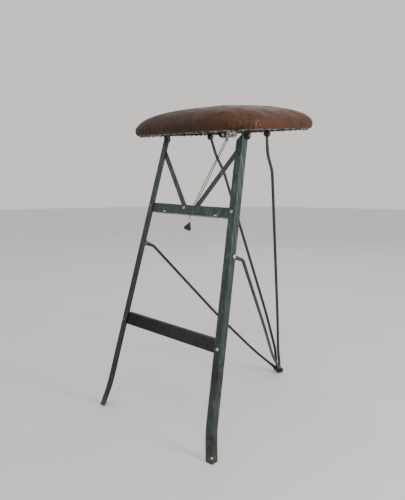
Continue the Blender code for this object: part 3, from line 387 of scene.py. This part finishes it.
def leather(name):
    """Brown hide: pores, creases, mottled dye, gathers at the corners and the cloth-edged rim, with painted
    light towards the right end and painted shade in the creases, folds and tuck.
    """
    shading = Shading(name)
    crease_shade = (0.007, 0.0036, 0.0026)
    mottle = shading.noise(9.0, detail=6.0, roughness=0.6, distortion=0.6)
    base = shading.ramp(mottle, [(0.30, (0.022, 0.0076, 0.0038)), (0.50, (0.034, 0.0116, 0.0053)),
                                 (0.72, (0.050, 0.0168, 0.0072))])
    # painted light: the hide turns lighter and more orange towards its right end, where the light falls
    across = shading.span(shading.axis("X"), 0.02, 0.20)
    base = shading.mix(shading.maths("MULTIPLY", across, 0.50), base, (0.135, 0.046, 0.0145))
    patches = shading.span(shading.noise(38.0), 0.50, 0.68, 0.0, 0.65)
    base = shading.mix(patches, base, (0.0220, 0.0085, 0.0048))
    rubbed = shading.span(shading.noise(15.0, detail=5.0, distortion=1.0), 0.52, 0.70, 0.0, 0.45)
    base = shading.mix(rubbed, base, (0.090, 0.037, 0.017))
    # painted shade in the fine creases
    crease_line = shading.span(shading.cell_walls(150.0), 0.0, 0.10)
    base = shading.mix(shading.span(crease_line, 0.0, 1.0, 0.35, 0.0), base, crease_shade)

    seat_up = Matrix.Rotation(SEAT_SLOPE, 3, "X") @ Vector((0.0, 0.0, 1.0))
    over_pivot = shading.height_over(SEAT_PIVOT, seat_up)
    folds = corner_gathers(shading, over_pivot)
    # painted shade in the folds at the corners
    base = shading.mix(shading.span(folds, 0.75, 0.0, 0.0, 0.6), base, crease_shade)
    base, tuck_form = tuck(shading, base)

    # the hem: cloth stained with glue, just above the underside
    hem = shading.span(over_pivot, SEAT_RIM_Z + HEM_HIGH, SEAT_RIM_Z + HEM_LOW)
    blots = shading.span(shading.noise(95.0, detail=6.0, distortion=0.7), 0.46, 0.56)
    cloth = shading.mix(blots, (0.27, 0.255, 0.235), (0.022, 0.013, 0.009))
    shading.colour(shading.mix(hem, base, cloth))

    rough = shading.span(shading.noise(30.0, detail=5.0), 0.3, 0.7, 0.46, 0.62)
    shading.set("Roughness", shading.mix(hem, rough, (0.9, 0.9, 0.9)))
    shading.set("Specular IOR Level", 0.24)
    shading.set("Sheen Weight", 0.02)
    shading.set("Sheen Roughness", 0.4)
    grain = shading.bump(shading.span(shading.cell_walls(430.0), 0.0, 0.18), 0.00022, 0.45)
    grain = shading.bump(crease_line, 0.0003, 0.5, below=grain)
    grain = shading.bump(folds, 0.0022, 0.8, below=grain)
    grain = shading.bump(tuck_form, 0.0030, 0.9, below=grain)
    shading.bump(shading.noise(24.0), 0.0010, 0.4, below=grain)
    return shading.material


def cloth_backing(name, light, dark, stains):
    """Woven backing with brown stains."""
    shading = Shading(name, roughness=0.9)
    threads = [shading.waves(shading.place, direction, 420.0) for direction in ("X", "Y")]
    weave = shading.maths("MULTIPLY", *threads)
    base = shading.mix(weave, dark, light)
    blots = shading.span(shading.noise(26.0, detail=6.0), 0.54, 0.68, 0.0, 0.6)
    shading.colour(shading.mix(blots, base, stains))
    shading.bump(weave, 0.0003, 0.6)
    return shading.material


def plywood(name):
    shading = Shading(name, roughness=0.7)
    rings = shading.noise(14.0, detail=6.0, place=shading.stretched((1.0, 9.0, 9.0)))
    base = shading.ramp(rings, [(0.35, (0.30, 0.19, 0.10)), (0.65, (0.47, 0.33, 0.19))])
    shading.colour(base)
    shading.bump(rings, 0.0004, 0.4)
    return shading.material


def string(name):
    shading = Shading(name, roughness=0.9)
    fibres = shading.noise(900.0, detail=3.0)
    shading.colour(shading.ramp(fibres, [(0.3, (0.050, 0.030, 0.018)), (0.7, (0.24, 0.165, 0.105))]))
    shading.bump(fibres, 0.0002, 0.7)
    return shading.material


def plastic(name):
    shading = Shading(name)
    scuffs = shading.noise(300.0, detail=6.0)
    shading.colour(shading.ramp(scuffs, [(0.4, (0.006, 0.006, 0.007)), (0.75, (0.020, 0.020, 0.021))]))
    shading.set("Roughness", shading.span(scuffs, 0.3, 0.7, 0.18, 0.42))
    shading.bump(scuffs, 0.0001, 0.3)
    return shading.material


MATERIALS = {
    "frame_paint": paint("frame_enamel", (0.0160, 0.0330, 0.0350), (0.0340, 0.0600, 0.0620),
                         (0.100, 0.140, 0.145), edge_tone=(0.17, 0.19, 0.185), blotches=0.95),
    "footrest_paint": paint("footrest_enamel", (0.0380, 0.0355, 0.0375), (0.0600, 0.0560, 0.0585),
                            (0.078, 0.069, 0.066), edge_tone=(0.004, 0.004, 0.004), roughness=0.60,
                            gleam=0.15),
    "rod_paint": paint("rod_enamel", (0.0120, 0.0220, 0.0240), (0.0270, 0.0430, 0.0450),
                       (0.045, 0.060, 0.062)),
    "bright_steel": steel("plated_steel", (0.62, 0.61, 0.59), (0.34, 0.33, 0.31), 0.36),
    "dark_steel": steel("blackened_steel", (0.085, 0.085, 0.088), (0.035, 0.035, 0.037), 0.50, spots=0.3),
    "leather": leather("brown_hide"),
    "plywood": plywood("seat_plywood"),
    "lining": cloth_backing("seat_backing", (0.52, 0.50, 0.46), (0.36, 0.34, 0.31), (0.045, 0.030, 0.020)),
    "string": string("pull_string"),
    "black_plastic": plastic("knob_plastic"),
}
CRUMPLED = steel("crumpled_steel", (0.60, 0.59, 0.57), (0.24, 0.23, 0.22), 0.34, crumple=0.9)
# darker steel: partly tarnish, partly painted shade on fittings that sit in shade
TARNISHED_AND_SHADED = steel("tarnished_and_shaded_steel", (0.20, 0.195, 0.19), (0.07, 0.065, 0.06), 0.46)

# fittings whose finish has gone its own way; the darker steel on some rivets, bolts and nuts is partly
# tarnish and partly painted shade, and the front right bolt, which catches the light, keeps the bright steel
FINISHES = {"latch_housing": CRUMPLED, "latch_bail": MATERIALS["dark_steel"]}
for side in SIDES:
    FINISHES[f"rivet_brace_top_{side}"] = MATERIALS["frame_paint"]
    for end in ("front", "rear"):
        FINISHES[f"pivot_bolt_{end}_{side}"] = TARNISHED_AND_SHADED
        FINISHES[f"pivot_nut_{end}_{side}"] = TARNISHED_AND_SHADED
for rivet in ("rivet_crossbar_left", "rivet_brace_foot_right", "rivet_footrest_left", "rivet_strut_left"):
    FINISHES[rivet] = TARNISHED_AND_SHADED
FINISHES["pivot_bolt_front_right"] = MATERIALS["bright_steel"]


def dress_nodes():
    """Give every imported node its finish, and weld its split triangles for smooth shading."""
    slots = {part["node"]: part["material_slot"] for part in frame["record"]["subparts"]}
    for name, obj in nodes.items():
        obj.data.materials.clear()
        obj.data.materials.append(FINISHES.get(name, MATERIALS[slots[name]]))
        weld = obj.modifiers.new("weld", "WELD")
        weld.merge_threshold = WELD_DISTANCE


# ---- cords ---------------------------------------------------------------------------------

def tube_mesh(name, route, radius, material, sides=8):
    """A tube of rings along a route."""
    bm = bmesh.new()
    rings = []
    for i, point in enumerate(route):
        before, after = route[max(i - 1, 0)], route[min(i + 1, len(route) - 1)]
        turn = (after - before).to_track_quat("Z", "X").to_matrix()
        angles = [2 * math.pi * k / sides for k in range(sides)]
        corners = [Vector((radius * math.cos(angle), radius * math.sin(angle), 0)) for angle in angles]
        rings.append([bm.verts.new(point + turn @ corner) for corner in corners])
    for lower, upper in zip(rings, rings[1:]):
        for k in range(sides):
            bm.faces.new((lower[k], lower[(k + 1) % sides], upper[(k + 1) % sides], upper[k]))
    bm.faces.new(list(reversed(rings[0])))
    bm.faces.new(rings[-1])
    return link_mesh(name, bm, material)


def make_pull_cord():
    """The string runs doubled from the bail to the crossbar's hole, its strands bowed a little apart."""
    down = (CORD_HOLE - BAIL_PIVOT).normalized()
    start = BAIL_PIVOT + down * BAIL_REACH
    end = CORD_HOLE + CORD_END_SHIFT
    side = Vector((1.0, 0.0, 0.0))
    up = down.cross(side)
    for number in range(2):
        angle = STRAND_TURN + math.pi * number
        outward = side * math.cos(angle) + up * math.sin(angle)
        route = []
        for i in range(STRAND_STEPS + 1):
            t = i / STRAND_STEPS
            spread = STRAND_RADIUS + STRAND_SPREAD * math.sin(math.pi * t) ** 0.8
            route.append(start.lerp(end, t) + outward * spread)
        strand = tube_mesh(f"cord_strand_{number + 1}", route, STRAND_RADIUS, MATERIALS["string"])
        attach(strand, "front_frame")
        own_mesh(strand)
    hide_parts("pull_cord")


def make_knob():
    """A rounded triangular grip that hangs a little askew from its ring."""
    bm = bmesh.new()
    outline = []
    side, low = KNOB_HALF - KNOB_ROUND, KNOB_ROUND - KNOB_DROP
    corners = ((0.0, -KNOB_TIP, KNOB_TIP, 90), (-side, low, KNOB_ROUND, 210), (side, low, KNOB_ROUND, 330))
    for x, z, radius, middle in corners:
        for turn in range(-60, 61, 15):
            angle = math.radians(middle + turn)
            outline.append((x + radius * math.cos(angle), z + radius * math.sin(angle)))
    half = KNOB_THICK / 2
    front = bm.faces.new([bm.verts.new((x, -half, z)) for x, z in outline])
    rear = bm.faces.new([bm.verts.new((x, half, z)) for x, z in reversed(outline)])
    count = len(outline)
    for k in range(count):
        after = (k + 1) % count
        bm.faces.new((front.verts[after], front.verts[k], rear.verts[count - 1 - k],
                      rear.verts[count - 1 - after]))
    bmesh.ops.recalc_face_normals(bm, faces=bm.faces)
    knob = link_mesh("grip", bm, MATERIALS["black_plastic"])
    round_off = knob.modifiers.new("round", "BEVEL")
    round_off.width = KNOB_BEVEL
    round_off.segments = 4
    round_off.limit_method = "ANGLE"
    round_off.angle_limit = math.radians(50)
    knob.location = RING_FOOT
    knob.rotation_euler = (0.0, KNOB_TILT, KNOB_TURN)
    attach(knob, "pull_knob")
    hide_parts("pull_knob")


# ---- seat ----------------------------------------------------------------------------------

def seat_plan(turn, inset):
    """A point of the seat's squarish plan, pulled in by inset, at a share of one turn round it."""
    angle, power = 2 * math.pi * turn, 2 / SEAT_SQUARENESS
    c, s = math.cos(angle), math.sin(angle)
    across, along = math.copysign(abs(c) ** power, c), math.copysign(abs(s) ** power, s)
    return across * (SEAT_HALF_X - inset), along * (SEAT_HALF_Y - inset)


def seat_form(rings_up, rings_down, segments, shrink):
    """Closed dome over a flat rim, in the seat's own frame, shrunk a little all round."""
    bm = bmesh.new()
    rows = []
    levels = [math.pi / 2 * (1 - i / rings_up) for i in range(1, rings_up + 1)]
    levels += [-math.pi / 2 * i / rings_down for i in range(1, rings_down)]
    for level in levels:
        if level >= 0:
            reach = math.cos(level) ** (2 / SEAT_FULLNESS)
            z = SEAT_EDGE_Z + (SEAT_CROWN_Z - SEAT_EDGE_Z - shrink) * math.sin(level)
        else:
            reach = 1 - SEAT_UNDER_ROUND / SEAT_HALF_Y * (1 - math.cos(level))
            z = SEAT_EDGE_Z + (SEAT_EDGE_Z - SEAT_RIM_Z) * math.sin(level)
        row = []
        for k in range(segments):
            x, y = seat_plan(k / segments, shrink)
            row.append(bm.verts.new((x * reach, SEAT_CENTRE_Y + y * reach, z)))
        rows.append(row)
    crown = bm.verts.new((0.0, SEAT_CENTRE_Y, SEAT_CROWN_Z - shrink))
    base = bm.verts.new((0.0, SEAT_CENTRE_Y, SEAT_RIM_Z))
    for k in range(segments):
        after = (k + 1) % segments
        bm.faces.new((crown, rows[0][k], rows[0][after]))
        for upper, lower in zip(rows, rows[1:]):
            bm.faces.new((upper[k], lower[k], lower[after], upper[after]))
        bm.faces.new((rows[-1][k], base, rows[-1][after]))
    bmesh.ops.recalc_face_normals(bm, faces=bm.faces)
    return bm


def stuff_hide(hide):
    """Press the hide outwards over its stuffing; its rim stays where it is tacked."""
    rest = [vert.co.copy() for vert in hide.data.vertices]
    tacked = hide.vertex_groups.new(name="tacked")
    for vert in hide.data.vertices:
        if vert.co.z < SEAT_RIM_Z + TACKED_BAND:
            tacked.add([vert.index], 1.0, "REPLACE")
    cloth = hide.modifiers.new("stuffing", "CLOTH")
    cloth.settings.quality = 5
    cloth.settings.mass = 0.25
    cloth.settings.tension_stiffness = cloth.settings.compression_stiffness = 12.0
    cloth.settings.bending_stiffness = 1.5
    cloth.settings.use_pressure = True
    cloth.settings.uniform_pressure_force = 4.0
    cloth.settings.vertex_group_mass = "tacked"
    cloth.settings.effector_weights.gravity = 0.0
    cloth.point_cache.frame_start, cloth.point_cache.frame_end = 1, HIDE_FRAMES
    for number in range(1, HIDE_FRAMES + 1):
        bpy.context.scene.frame_set(number)
    freeze(hide)
    bpy.context.scene.frame_set(1)
    hide.vertex_groups.clear()
    for vert, start in zip(hide.data.vertices, rest):
        move = vert.co - start
        if move.length > HIDE_TRAVEL:
            move *= HIDE_TRAVEL / move.length
        vert.co = start + move


def open_underside(hide):
    """Cut the hide away under the board and turn its edge up against the plywood."""
    half_x, half_y = SEAT_HALF_X - BOARD_INSET, SEAT_HALF_Y - BOARD_INSET
    bm = bmesh.new()
    bm.from_mesh(hide.data)
    inner = []
    for face in bm.faces:
        middle = face.calc_center_median()
        across, along = abs(middle.x) / half_x, abs(middle.y - SEAT_CENTRE_Y) / half_y
        inside = across ** SEAT_SQUARENESS + along ** SEAT_SQUARENESS < 1.0
        if inside and middle.z < SEAT_EDGE_Z:
            inner.append(face)
    bmesh.ops.delete(bm, geom=inner, context="FACES")
    rim = [edge for edge in bm.edges if edge.is_boundary]
    turned = bmesh.ops.extrude_edge_only(bm, edges=rim)["geom"]
    for item in turned:
        if isinstance(item, bmesh.types.BMVert):
            item.co.z = BOARD_UNDER_Z
    bm.to_mesh(hide.data)
    bm.free()


def gather_corners(hide):
    """Pucker the rim, deepest at the corners, swell the tuck and let the worn crown sink in lumps."""
    for vert in hide.data.vertices:
        across = vert.co.x / SEAT_HALF_X
        along = (vert.co.y - SEAT_CENTRE_Y) / SEAT_HALF_Y
        corner = min(max(0.0, abs(across * along) - CORNER_START) / CORNER_FADE, 1.0)
        low = max(0.0, min(1.0, (SEAT_EDGE_Z + PUCKER_TOP - vert.co.z) / PUCKER_FADE))
        route = (vert.co.x * math.copysign(1.0, -along) + vert.co.y * math.copysign(1.0, across))
        depth = PUCKER_DEPTH + PUCKER_CORNER_DEPTH * corner
        inward = Vector((-across, -along, 0.0)).normalized() if abs(across) + abs(along) > 0.1 else Vector()
        ripple = 0.5 - 0.5 * math.cos(2 * math.pi * route / PUCKER_PITCH)
        lumps = 0.0011 * noise.noise(vert.co * 16.0) + 0.0005 * noise.noise(vert.co * 45.0)
        vert.co += inward * (depth * ripple * low)
        swell = max(0.0, 1.0 - (seat_to_world(vert.co) - TUCK_PLACE).length / TUCK_REACH)
        vert.co -= inward * (TUCK_SWELL * min(1.0, 2.2 * swell))
        vert.co.z += (lumps - CROWN_SETTLE) * (1.0 - low)


def make_tacks():
    """Low round tack heads in a row under the rim, where the hide is turned in."""
    bm = bmesh.new()
    inset = (SEAT_UNDER_ROUND + BOARD_INSET) / 2
    count = round(4 * (SEAT_HALF_X + SEAT_HALF_Y) / TACK_SPACING)
    flat = Matrix.Diagonal((1.0, 1.0, TACK_HEIGHT / TACK_RADIUS, 1.0))
    for k in range(count):
        x, y = seat_plan((k + 0.5) / count, inset)
        place = Matrix.Translation((x, SEAT_CENTRE_Y + y, SEAT_RIM_Z - TACK_SINK))
        bmesh.ops.create_uvsphere(bm, u_segments=10, v_segments=6, radius=TACK_RADIUS, matrix=place @ flat)
    return link_mesh("seat_tacks", bm, TARNISHED_AND_SHADED)


def make_hide():
    """The leather: an even mesh, stuffed, gathered at the rim and left open under the board."""
    form = seat_form(HIDE_ROWS_UP, HIDE_ROWS_DOWN, HIDE_SEGMENTS, STUFFING_ROOM)
    hide = link_mesh("seat_leather", form, MATERIALS["leather"])
    remesh = hide.modifiers.new("even", "REMESH")
    remesh.mode = "VOXEL"
    remesh.voxel_size = HIDE_VOXEL
    remesh.use_smooth_shade = True
    freeze(hide)
    stuff_hide(hide)
    hide.modifiers.new("fine", "SUBSURF").levels = 1
    freeze(hide)
    gather_corners(hide)
    open_underside(hide)
    hide.data.shade_smooth()
    hide.data.materials.clear()
    hide.data.materials.append(MATERIALS["leather"])
    return hide


def make_seat():
    """The stuffed hide and its tacks take the place of the plain cushion."""
    hide, tacks = make_hide(), make_tacks()
    for obj in (hide, tacks):
        for vert in obj.data.vertices:
            vert.co = seat_to_world(vert.co)
        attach(obj, "seat")
    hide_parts("seat_cushion")


# ---- make everything -----------------------------------------------------------------------

make_camera()
make_pull_cord()
make_knob()
dress_nodes()
make_seat()
make_studio()
